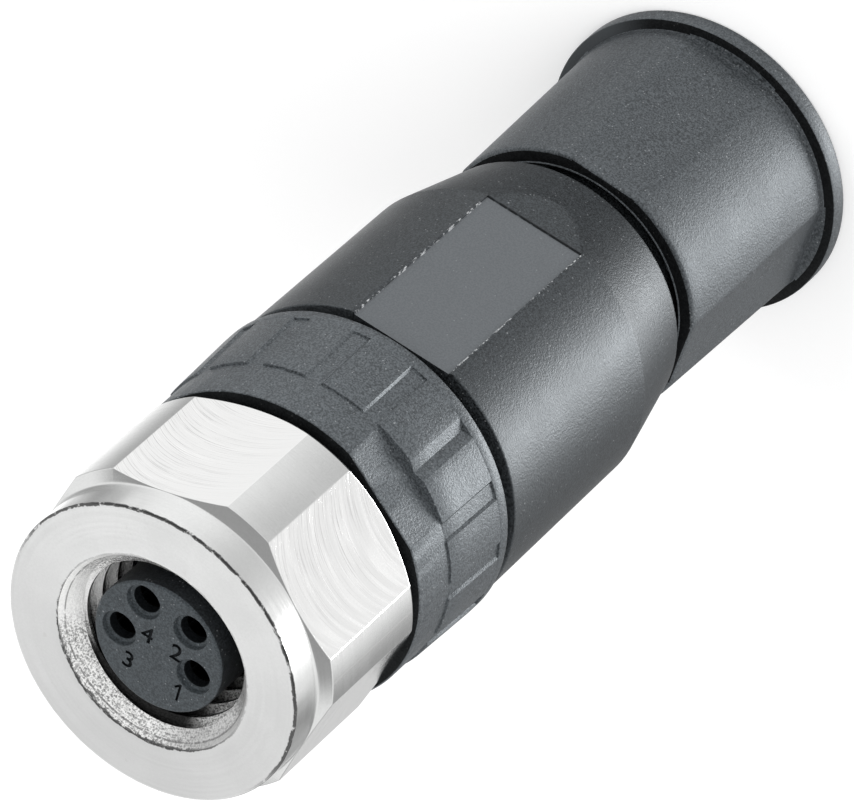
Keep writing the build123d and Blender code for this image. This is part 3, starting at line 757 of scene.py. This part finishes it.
panel_sector = make_sector(PITCH / 2, 1.0, False)
key_sector = make_sector(PITCH, math.radians(PITCH / 2) * BAND + 1.0, True)
plain_panels = run_tree(panel_sector, round_tree, {
    "Panels": PLAIN_PANELS, "Pitch": PITCH, "First Turn": KEY_TURN + 1.5 * PITCH, "Finish": black_plastic})
key_panel = run_tree(key_sector, round_tree, {
    "Panels": 1, "Pitch": PITCH, "First Turn": KEY_TURN, "Finish": black_plastic})
ring_piece = piece("grip_ring_body", joined("grip_ring_body", plain_panels, key_panel), "connector",
                   "black_plastic", black_plastic, ring_gap_painted_shade)
# painted shade: the ring's front and back faces, which look into the dark gaps beside them, get a near-black
# finish
for face in ring_piece.data.polygons:
    depth = LENGTH - face.center.z / MM
    face.material_index = 1 if depth < RING_FRONT + 0.005 or depth > RING_BACK - 0.01 else 0
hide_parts("grip_ring")


# Housing
def stacked(name, rings):
    """Mesh of rings along the axis, each a depth with its radii and angles."""
    rows = [station(radii, depth) for depth, (radii, angles) in rings]
    return skin(name, np.stack(rows), np.stack([angles for depth, (radii, angles) in rings]))


def plain_rings(ring, points):
    """Round rings at (depth, radius) points."""
    return [(depth, ring(depth, plain=radius)) for depth, radius in points]


def housing_ring(depth, shrink=0.0, plain=None):
    """Radii and angles at a depth: the facet with its sunk label panel, then the round rest."""
    radius = np.interp(depth, [HOUSING_FRONT, CREASE, HOUSING_BACK], HOUSING_RADII) - shrink
    if plain is not None:
        radius = plain
    edge = max(math.sqrt(max(radius * radius - FACET * FACET, 0)), LABEL_HALF + 0.03)
    half = np.array([*np.linspace(0, 2.0, 11), LABEL_HALF - 0.05, LABEL_HALF - 0.015, LABEL_HALF,
                     LABEL_HALF + 0.012, *np.linspace(LABEL_HALF + 0.02, edge, 5), edge + 0.02, edge + 0.06])
    front = np.minimum(FACET, np.sqrt(np.maximum(radius * radius - half * half, 0)))
    if plain is None:
        sunk = (half <= LABEL_HALF) & (depth <= LABEL_END)
        front = np.where(sunk, np.minimum(front, FACET - LABEL_SINK), front)
    wall = np.hypot(half, front)
    turn = np.degrees(np.arctan2(half, front))
    rest = around([24.0, 336.0], 3.0)
    radii = np.concatenate([wall[::-1], wall[1:], np.full(len(rest), radius)])
    return radii, np.concatenate([-turn[::-1], turn[1:], rest]) - 90


def make_housing():
    """Housing from the front rim back over the spigot, then its inside."""
    rings = plain_rings(housing_ring, [(HOUSING_FRONT, SLEEVE + 0.02)])
    rings += [(HOUSING_FRONT + down, housing_ring(HOUSING_FRONT, shrink))
              for down, shrink in ((0, 0.05), (0.015, 0.02), (0.04, 0.005))]
    depths = [HOUSING_FRONT + 0.1, *np.linspace(14.8, 23.6, 12), LABEL_END - 0.05, LABEL_END - 0.02,
              LABEL_END + 0.01, LABEL_END + 0.04, CREASE - 0.01, CREASE + 0.04, *np.linspace(24.0, 25.6, 28),
              *np.linspace(25.9, 27.62, 6), HOUSING_BACK - 0.08]
    rings += [(depth, housing_ring(depth)) for depth in depths]
    rings += [(HOUSING_BACK - up, housing_ring(HOUSING_BACK - up, shrink))
              for up, shrink in ((0.02, 0.02), (0, 0.07))]
    rings += plain_rings(housing_ring, [
        (HOUSING_BACK, SPIGOT), (SPIGOT_END, SPIGOT), (SPIGOT_END, SEAL_BORE), (24.6, SEAL_BORE),
        (24.6, CABLE_BORE), (24.0, CABLE_BORE), (24.0, SLEEVE_BORE), (18.0, SLEEVE_BORE),
        (18.0, SLEEVE + 0.02)])
    return stacked("housing_body", rings)


housing_piece = piece("housing_body", make_housing(), "connector", "black_plastic", housing_plastic,
                      label_plastic)
for face in housing_piece.data.polygons:
    x, y, z = face.center / MM
    if abs(y + FACET - LABEL_SINK) < 0.01 and abs(x) < LABEL_HALF and LENGTH - z < LABEL_END:
        face.material_index = 1
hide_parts("housing")


# Clamp nut
def cap_ring(depth, shrink=0.0, plain=None):
    """Radii and angles at a depth: four flats with softened edges, on a slight cone."""
    radius, flat = (np.interp(depth, [CAP_FRONT, FLANGE], ends) for ends in (CAP_ROUND, CAP_FLAT))
    edge = math.degrees(math.acos(flat / radius))
    quarter = np.concatenate([np.linspace(0, edge - 1.6, 7), edge + np.array([-0.9, -0.35, 0.0, 0.35, 0.9]),
                              np.linspace(edge + 2.0, 45, 8)])
    half = np.concatenate([-quarter[::-1], quarter[1:]])[:-1]
    angles = np.concatenate([half + 90 * k for k in range(4)])
    local = np.abs((angles + 45) % 90 - 45)
    wall = np.minimum(flat / np.cos(np.radians(local)), radius)
    soft = np.where(np.abs(local - edge) < 0.5, wall - 0.006, wall)
    return (soft - shrink if plain is None else np.full(len(angles), plain)), angles + CAP_TURN


def make_cap():
    """Clamp nut from the front rim back to the flange, then its inside."""
    rings = plain_rings(cap_ring, [(CAP_FRONT - 0.035, 5.15), (CAP_FRONT - 0.045, 5.17),
                                   (CAP_FRONT - 0.035, 5.19), (CAP_FRONT, 5.21)])
    body = [(CAP_FRONT, 0.14), (CAP_FRONT + 0.02, 0.07), (CAP_FRONT + 0.06, 0.025), (CAP_FRONT + 0.14, 0.0)]
    body += [(depth, 0.0) for depth in np.linspace(29.4, 38.2, 9)]
    body += [(FLANGE - 0.05, -0.004), (FLANGE - 0.01, -0.03)]
    rings += [(depth, cap_ring(depth, shrink)) for depth, shrink in body]
    rings += plain_rings(cap_ring, [
        (FLANGE, 6.12), (FLANGE, FLANGE_RADIUS - 0.06), (FLANGE + 0.02, FLANGE_RADIUS - 0.02),
        (FLANGE + 0.06, FLANGE_RADIUS), (LENGTH - 0.1, FLANGE_RADIUS),
        (LENGTH - 0.04, FLANGE_RADIUS - 0.02), (LENGTH, FLANGE_RADIUS - 0.07), (LENGTH, 3.28),
        (LENGTH - 0.03, 3.22), (LENGTH - 0.45, CABLE_ENTRY + 0.04), (LENGTH - 0.54, CABLE_ENTRY),
        (36.5, CABLE_ENTRY), (36.5, 3.51), (36.3, 3.51), (34.7, 3.79), (34.7, CAP_BORE), (29.0, CAP_BORE),
        (CAP_FRONT + 0.08, 5.03), (CAP_FRONT + 0.01, 5.12)])
    return stacked("clamp_nut_body", rings)


cap_mesh = make_cap()
cap_piece = piece("clamp_nut_body", cap_mesh, "cap", "black_plastic", cap_plastic, cap_painted_shade)
# painted shade: the front edge in the gap, the inside and the flange's inner strip get a near-black finish,
# where little light reaches
for face in cap_piece.data.polygons:
    radius, depth = math.hypot(face.center.x, face.center.y) / MM, LENGTH - face.center.z / MM
    front = depth < CAP_FRONT + 0.01 and 5.2 < radius < 5.62
    if front or radius < 5.12 or (abs(depth - FLANGE) < 0.015 and 6.08 < radius < 6.46):
        face.material_index = 1
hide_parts("clamp_nut")


# Screw threads
def build_thread(n, given, wanted):
    """Sweeps a trapezoid along a helix whose ends fade out; sizes in metres."""
    helix = n.add("GeometryNodeCurveSpiral", {
        "Resolution": 96, "Rotations": given["Turns"], "Start Radius": given["Root Radius"],
        "End Radius": given["Root Radius"], "Height": n.times(given["Turns"], given["Pitch"])})
    level = n.add("GeometryNodeSetCurveNormal", {"Curve": helix.outputs[0]}, mode="Z_UP")
    lift = n.add("ShaderNodeCombineXYZ", {"Z": given["Start Height"]})
    first = n.add("ShaderNodeCombineXYZ", {"Z": n.math("RADIANS", given["Start Turn"])})
    risen = n.add("GeometryNodeTransform", {"Geometry": level.outputs[0], "Translation": lift.outputs[0],
                                            "Rotation": first.outputs[0]})
    along = n.add("GeometryNodeSplineParameter").outputs["Factor"]
    near_end = n.math("MINIMUM", along, n.minus(1.0, along))
    fade = n.between(n.times(near_end, given["Turns"]), 0.0, given["Runout"], 0.02, 1.0)
    faded = n.add("GeometryNodeSetCurveRadius", {"Curve": risen.outputs[0], "Radius": fade})
    tooth = n.add("GeometryNodeCurvePrimitiveQuadrilateral", mode="TRAPEZOID")
    for label, value in (("Height", given["Depth"]), ("Bottom Width", given["Root Width"]),
                         ("Top Width", given["Crest Width"]), ("Offset", 0.0)):
        n.feed(tooth.inputs[label], value)
    # the tooth stands on the root and points to the axis for 1, away from it for -1
    shift = n.add("ShaderNodeCombineXYZ", {"Y": n.times(given["Depth"], 0.5)})
    tip = n.add("ShaderNodeCombineXYZ", {"Z": n.times(given["Inward"], -math.pi / 2)})
    based = n.add("GeometryNodeTransform", {"Geometry": tooth.outputs[0], "Translation": shift.outputs[0]})
    aimed = n.add("GeometryNodeTransform", {"Geometry": based.outputs[0], "Rotation": tip.outputs[0]})
    swept = n.add("GeometryNodeCurveToMesh", {"Curve": faded.outputs[0], "Profile Curve": aimed.outputs[0],
                                              "Fill Caps": True})
    paint = n.add("GeometryNodeSetMaterial", {"Geometry": swept.outputs[0], "Material": given["Finish"]})
    n.feed(wanted["Thread"], paint.outputs[0])


helix_tree = group("screw_thread",
                   [("Base", GEOMETRY, None), ("Turns", NUMBER, 4.0), ("Pitch", NUMBER, 0.001),
                    ("Root Radius", NUMBER, 0.004), ("Depth", NUMBER, 0.00055),
                    ("Root Width", NUMBER, 0.00085), ("Crest Width", NUMBER, 0.0002),
                    ("Start Height", NUMBER, 0.0), ("Start Turn", NUMBER, 0.0), ("Runout", NUMBER, 0.3),
                    ("Inward", NUMBER, 1.0), ("Finish", FINISH, None)],
                   [("Thread", GEOMETRY)], build_thread, "GeometryNodeTree")


def thread(name, body, slot, finish, values):
    """Ridge of a screw thread, with the values of the tree's inputs."""
    seed = bpy.data.meshes.new("seed")
    seed.from_pydata([(0, 0, 0)], [], [])
    made = run_tree(seed, helix_tree, {**values, "Finish": finish})
    made.name = name
    outward(made, merge=0.0000005)
    return piece(name, made, body, slot, finish)


thread("nut_thread", "nut", "nickel_plate", nickel_thread, {
    "Turns": 5.76, "Start Turn": 191.4, "Root Radius": (THREAD_ROOT + 0.01) * MM, "Depth": 0.56 * MM,
    "Root Width": 0.86 * MM, "Crest Width": 0.16 * MM, "Start Height": (LENGTH - THREAD_END) * MM,
    "Inward": 1.0})
thread("spigot_thread", "connector", "black_plastic", black_plastic, {
    "Turns": 3.4, "Root Radius": (SPIGOT - 0.02) * MM, "Depth": 0.46 * MM, "Root Width": 0.8 * MM,
    "Crest Width": 0.2 * MM, "Start Height": (LENGTH - SPIGOT_END + 0.2) * MM, "Inward": -1.0})

# Contact insert
insert_angles = around([0, 360], 3.0)[:-1]
insert_corners = [(0.02, INSERT_FACE), (INSERT_RADIUS, INSERT_FACE), (INSERT_RADIUS, 6.0), (2.55, 6.0),
                  (2.55, 6.4), (2.9, 6.4), (2.9, 7.88), (3.5, 7.88), (3.5, 10.5), (4.5, 10.5), (4.5, 12.5),
                  (0.02, 12.5)]
insert_rounding = [0, 0.13, 0.03, 0, 0, 0.03, 0, 0, 0, 0, 0, 0]
insert_rows = soften(profile(insert_corners, len(insert_angles)), insert_rounding, 5)
insert = placed("contact_insert_body", skin("contact_insert_body", insert_rows, insert_angles, closed=False))


def cut(thing, cutter_mesh):
    """Takes a cutter's shape out of a piece, and removes the cutter."""
    cutter = placed("cutter", cutter_mesh)
    work = thing.modifiers.new("cut", "BOOLEAN")
    work.operation, work.solver, work.object = "DIFFERENCE", "EXACT", cutter
    bake(thing)
    bpy.data.objects.remove(cutter)


# pin holes: a bevelled rim, a step inside it, then the narrow hole in front of the contact's room
hole_angles = around([0, 360], 5.625)[:-1]
hole_corners = [(0.02, 0.2), (HOLE_RIM + 0.04, 0.2), (HOLE_RIM, INSERT_FACE - 0.005),
                (HOLE_RIM - 0.025, INSERT_FACE + 0.02), (0.70, 0.60), (0.60, 0.62), (0.575, 0.65),
                (HOLE_RADIUS, 1.05), (0.72, 1.05), (0.72, 13.0), (0.02, 13.0)]
for x, y in PINS.values():
    hole = skin("hole", profile(hole_corners, len(hole_angles)), hole_angles, closed=False)
    hole.transform(Matrix.Translation((x * MM, y * MM, 0)))
    cut(insert, hole)

# places of the digits, and the outline of a 1 with a flag
DIGITS = {"4": (0.54, -0.28), "2": (-0.77, -0.30), "3": (0.98, 1.39), "1": (-1.22, 1.41)}
FLAGGED_ONE = [(-0.05, -0.42), (0.05, -0.42), (0.05, 0.42), (-0.04, 0.42), (-0.25, 0.19), (-0.19, 0.12),
               (-0.05, 0.26)]
DIGIT_DEPTH = 0.09


def typed_sign(sign):
    """Solid of a digit from the plain built-in letters, millimetres made metres."""
    text = bpy.data.curves.new("digit", "FONT")
    text.body = sign
    text.size = 1.05 * MM
    text.extrude = DIGIT_DEPTH * MM
    text.offset = 0.016 * MM
    text.resolution_u = 4
    holder = placed("digit", text)
    graph = bpy.context.evaluated_depsgraph_get()
    solid = bpy.data.meshes.new_from_object(holder.evaluated_get(graph))
    bpy.data.objects.remove(holder)
    return solid


def drawn_sign(outline):
    """Solid of a digit from its outline."""
    count = len(outline)
    solid = bpy.data.meshes.new("digit")
    verts = [(x * MM, y * MM, h * MM) for h in (-DIGIT_DEPTH, DIGIT_DEPTH) for x, y in outline]
    sides = [(i, (i + 1) % count, count + (i + 1) % count, count + i) for i in range(count)]
    solid.from_pydata(verts, [], [tuple(range(count)), tuple(range(count, 2 * count))] + sides)
    return solid


for sign, (dx, dy) in DIGITS.items():
    shape = drawn_sign(FLAGGED_ONE) if sign == "1" else typed_sign(sign)
    outward(shape, merge=0.000001)
    low = Vector([min(v.co[i] for v in shape.vertices) for i in range(3)])
    high = Vector([max(v.co[i] for v in shape.vertices) for i in range(3)])
    shape.transform(Matrix.Translation((dx * MM, dy * MM, (LENGTH - INSERT_FACE) * MM))
                    @ Matrix.Rotation(math.pi, 4, "Z") @ Matrix.Translation(-(low + high) / 2))
    cut(insert, shape)
insert_mesh = insert.data
bpy.data.objects.remove(insert)
insert_piece = piece("contact_insert_body", insert_mesh, "connector", "grey_plastic", insert_plastic,
                     insert_recess_painted_shade, insert_side_painted_shade, crisp=25.0)
# painted shade: digits and the holes' deep walls are near black, and the insert's side is darker
for face in insert_piece.data.polygons:
    x, y, z = face.center / MM
    depth, reach = LENGTH - z, math.hypot(x, y)
    clear = min(math.hypot(x - px, y - py) for px, py in PINS.values())
    digit = 0.42 < depth < 0.6 and clear > 0.78 and reach < 2.4
    if digit or (depth > 0.64 and clear < 0.74):
        face.material_index = 1
    elif depth > 0.5 and reach > 2.7:
        face.material_index = 2
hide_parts("contact_insert")

# Finishes of the solids that stay
finishes = {"snap_ring": spring, "face_seal": rubber, "joint_seal": rubber, "cable_seal": rubber,
            "terminal_carrier": inner_plastic, "thrust_ring": inner_plastic, "clamp_cage": inner_plastic}
for number in (1, 2, 3, 4):
    finishes[f"contact_{number}"] = gold
    finishes[f"terminal_screw_{number}"] = steel
for node, finish in finishes.items():
    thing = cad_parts[node]
    for socket in thing.material_slots:
        socket.material = finish
    if not thing.material_slots:
        thing.data.materials.append(finish)


# Floor, lamps and world
def floor_finish():
    """Matt white, which glows a little where the camera sees it."""
    made, n, shader, place = material("floor_white", (0.92, 0.92, 0.92), 0.9)
    n.feed(shader.inputs["Base Color"], n.mix(n.noise(place, 30.0), grey(0.91), grey(0.93)))
    seen = n.add("ShaderNodeLightPath").outputs["Is Camera Ray"]
    n.feed(shader.inputs["Emission Color"], n.mix(seen, grey(0), grey(1)))
    shader.inputs["Emission Strength"].default_value = 0.16
    return made


FLOOR_REACH, FLOOR_HEIGHT = 2, -0.00002
floor_mesh = bpy.data.meshes.new("floor")
floor_corners = [(x * FLOOR_REACH, y * FLOOR_REACH, FLOOR_HEIGHT)
                 for x, y in ((-1, -1), (1, -1), (1, 1), (-1, 1))]
floor_mesh.from_pydata(floor_corners, [], [(0, 1, 2, 3)])
floor_mesh.materials.append(floor_finish())
floor = placed("floor", floor_mesh)
# the studio round the object is what its gloss shows, so the floor leaves the reflections to it
floor.visible_glossy = False
floor.visible_shadow = False


def build_lobe(n, given, wanted):
    """Bell curve over the turn, 1 at its centre."""
    gap = n.math("WRAP", n.minus(given["Turn"], given["Centre"]), 180.0, -180.0)
    part = n.math("DIVIDE", gap, given["Width"])
    n.feed(wanted["Weight"], n.math("EXPONENT", n.times(n.times(part, part), -1.0)))


lobe = group("soft_lobe", [("Turn", NUMBER, 0.0), ("Centre", NUMBER, 0.0), ("Width", NUMBER, 20.0)],
             [("Weight", NUMBER)], build_lobe)


# turn round the axis, width and depth of each dip in the studio's lower wall; the one below 0 is a rise
DIPS = [(6.0, 24.0, 0.74), (58.0, 14.0, -0.6), (95.0, 16.0, 0.62), (131.0, 25.0, 0.80), (-110.0, 30.0, 0.45),
        (-146.0, 14.0, 0.12)]


def studio_finish():
    """White walls that glossy surfaces mirror: grey dips below, a dark curtain in front above."""
    made = bpy.data.materials.new("studio_walls")
    made.use_nodes = True
    made.node_tree.nodes.clear()
    n = Nodes(made.node_tree)
    place = n.add("ShaderNodeTexCoord").outputs["Object"]
    aim = n.add("ShaderNodeVectorMath", {0: place}, operation="NORMALIZE").outputs[0]
    split = n.add("ShaderNodeSeparateXYZ", {"Vector": aim})
    turn = n.math("DEGREES", n.math("ARCTAN2", split.outputs[1], split.outputs[0]))
    lift = n.math("DEGREES", n.math("ARCSINE", split.outputs[2]))
    level = 1.15
    for centre, width, depth in DIPS:
        dip = n.use(lobe, Turn=turn, Centre=centre, Width=width)["Weight"]
        level = n.minus(level, n.times(dip, depth))
    low = n.times(level, n.between(lift, -64.0, -43.0, 0.04, 1.0))
    ahead = n.add("ShaderNodeVectorMath", {0: aim, 1: (-0.12, -0.62, 0.775)}, operation="DOT_PRODUCT")
    curtain = n.times(n.between(ahead.outputs["Value"], 0.15, 0.40), n.between(lift, 2.0, 24.0))
    high = n.between(curtain, 0.0, 1.0, 1.0, 0.38, smooth=False)
    above = n.between(lift, -12.0, 8.0)
    value = n.plus(n.times(low, n.minus(1.0, above)), n.times(high, above))
    shade = n.add("ShaderNodeCombineXYZ", {"X": value, "Y": value, "Z": value})
    glow = n.add("ShaderNodeEmission", {"Color": shade.outputs[0], "Strength": 1.0})
    out = n.add("ShaderNodeOutputMaterial")
    n.feed(out.inputs["Surface"], glow.outputs[0])
    return made


STUDIO_RADIUS = 1.5
ball = bmesh.new()
bmesh.ops.create_icosphere(ball, subdivisions=4, radius=STUDIO_RADIUS)
studio_mesh = bpy.data.meshes.new("studio")
ball.to_mesh(studio_mesh)
ball.free()
studio_mesh.materials.append(studio_finish())
studio = placed("studio", studio_mesh)
for kind in ("camera", "diffuse", "shadow", "transmission", "volume_scatter"):
    setattr(studio, f"visible_{kind}", False)

world = bpy.data.worlds.new("studio")
world.use_nodes = True
w = Nodes(world.node_tree)
sky = world.node_tree.nodes["Background"]
sky.inputs["Color"].default_value = (1, 1, 1, 1)
ray = w.add("ShaderNodeLightPath")
plain = w.math("MAXIMUM", ray.outputs["Is Camera Ray"],
               w.math("MAXIMUM", ray.outputs["Is Glossy Ray"], ray.outputs["Is Transmission Ray"]))
w.feed(sky.inputs["Strength"], w.between(plain, 0.0, 1.0, 0.80, 1.0, smooth=False))
bpy.context.scene.world = world


STRIP_WIDTH, STRIP_HEIGHT = 0.12, 0.30


def lamp(name, place, size, power, target=(0, 0, 0.02), gloss=False, diffuse=True):
    """Area lamp of a size that looks at a target; unseen by the camera."""
    data = bpy.data.lights.new(name, "AREA")
    data.shape = "RECTANGLE"
    data.size, data.size_y = size
    data.energy = power
    thing = placed(name, data)
    thing.location = place
    thing.rotation_euler = (Vector(target) - Vector(place)).to_track_quat("-Z", "Y").to_euler()
    thing.visible_camera = False
    thing.visible_glossy = gloss
    thing.visible_diffuse = diffuse
    return thing


lamp("soft_key", (-0.30, -0.25, 0.45), (0.35, 0.35), 1.2)
lamp("soft_fill", (0.40, -0.20, 0.35), (0.3, 0.3), 0.5)
# strip light below on the left: the bright band along the housing
lamp("low_strip", (-0.30, -0.045, -0.36), (STRIP_WIDTH, STRIP_HEIGHT),
     16 * math.pi * STRIP_WIDTH * STRIP_HEIGHT, gloss=True, diffuse=False)

bpy.context.scene.view_settings.view_transform = "Standard"
